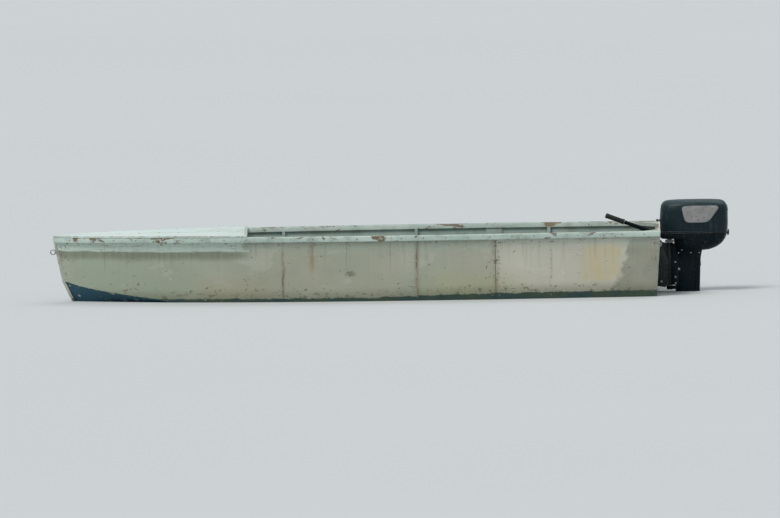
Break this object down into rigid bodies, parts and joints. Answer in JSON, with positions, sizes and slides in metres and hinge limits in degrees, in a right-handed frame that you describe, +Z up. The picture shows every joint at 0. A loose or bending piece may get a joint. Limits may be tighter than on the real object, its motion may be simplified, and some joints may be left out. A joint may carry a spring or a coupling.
{
  "type": "open fishing skiff with outboard motor",
  "caption": "Open hard-chine wooden skiff with a short foredeck and a tiller-steered outboard motor clamped in a transom well.",
  "frame": {"origin": "on the centreline at mid length of the hull, in the plane of the water that the boat floats on", "axes": "+X aft towards the motor, bow at -X, +Y to starboard, +Z up"},
  "size_m": [4.9386, 1.4502, 1.04],
  "materials": {
    "topside_paint": "weathered off-white paint on plywood",
    "topside_paint_aft": "weathered cream paint on plywood",
    "bottom_paint": "dull blue bottom paint",
    "timber": "worn, part painted timber",
    "rail_paint": "scuffed pale paint",
    "inside_paint": "worn grey-green paint",
    "deck_paint": "bright white deck paint",
    "bare_boards": "bare weathered boards",
    "steel": "dulled galvanised steel",
    "screw_steel": "dulled plated steel",
    "bracket_casting": "dark painted casting",
    "motor_paint": "black paint, chalky",
    "cover_plastic": "black, faded",
    "grip_rubber": "matt black",
    "engine_mass": "plain block",
    "propeller_metal": "dark painted, bare at the edges"
  },
  "bodies": {
    "hull": {"side_panel_port_forward": "topside_paint", "side_panel_starboard_forward": "topside_paint", "side_panel_port_aft": "topside_paint_aft", "side_panel_starboard_aft": "topside_paint_aft", "transom": "topside_paint_aft", "bottom_panel_port_forward": "bottom_paint", "bottom_panel_port_aft": "bottom_paint", "bottom_panel_starboard_forward": "bottom_paint", "bottom_panel_starboard_aft": "bottom_paint", "keel_strip": "bottom_paint", "stem_post": "timber", "inwale_port": "timber", "inwale_starboard": "timber", "foredeck_beam": "timber", "seat_riser_port": "timber", "seat_riser_starboard": "timber", "transom_pad_inner": "timber", "transom_pad_outer": "timber", "quarter_knee_port": "timber", "quarter_knee_starboard": "timber", "cutwater_strip": "rail_paint", "rub_rail_port": "rail_paint", "rub_rail_starboard": "rail_paint", "chine_log_port": "inside_paint", "chine_log_starboard": "inside_paint", "side_butt_strap_port": "inside_paint", "side_butt_strap_starboard": "inside_paint", "frame_1": "inside_paint", "frame_2": "inside_paint", "frame_3": "inside_paint", "foredeck_bulkhead": "inside_paint", "foredeck": "deck_paint", "thwart_middle": "bare_boards", "thwart_aft": "bare_boards", "floorboard_port": "bare_boards", "floorboard_middle": "bare_boards", "floorboard_starboard": "bare_boards", "bow_eye": "steel", "tilt_tube": "steel", "thrust_pin": "steel", "clamp_screw_port": "screw_steel", "clamp_screw_starboard": "screw_steel", "clamp_bracket_port": "bracket_casting", "clamp_bracket_starboard": "bracket_casting"},
    "swivel": {"swivel_bracket": "bracket_casting"},
    "motor": {"drive_shaft_housing": "motor_paint", "motor_pan": "motor_paint", "steering_shaft": "steel", "cowl_cover": "cover_plastic", "powerhead_block": "engine_mass", "ventilation_plate": "motor_paint", "gearcase": "motor_paint", "tiller_bracket": "bracket_casting", "starter_grip": "grip_rubber", "shift_lever": "bracket_casting"},
    "propeller": {"propeller": "propeller_metal"},
    "tiller": {"tiller_arm": "motor_paint", "tiller_grip": "grip_rubber"}
  },
  "joints": [
    {"name": "motor_tilt", "type": "hinge", "parent": "hull", "child": "swivel", "pos_m": [2.196, 0, 0.35], "axis": [0, -1, 0], "range_deg": [0, 65]},
    {"name": "motor_steer", "type": "hinge", "parent": "swivel", "child": "motor", "pos_m": [2.27, 0, 0.35], "axis": [0, 0, 1], "range_deg": [-40, 40]},
    {"name": "propeller_spin", "type": "hinge", "parent": "motor", "child": "propeller", "pos_m": [2.556, 0, -0.236], "axis": [1, 0, 0], "continuous": true},
    {"name": "tiller_fold", "type": "hinge", "parent": "motor", "child": "tiller", "pos_m": [2.158, 0, 0.432], "axis": [0, 1, 0], "range_deg": [0, 60]}
  ]
}
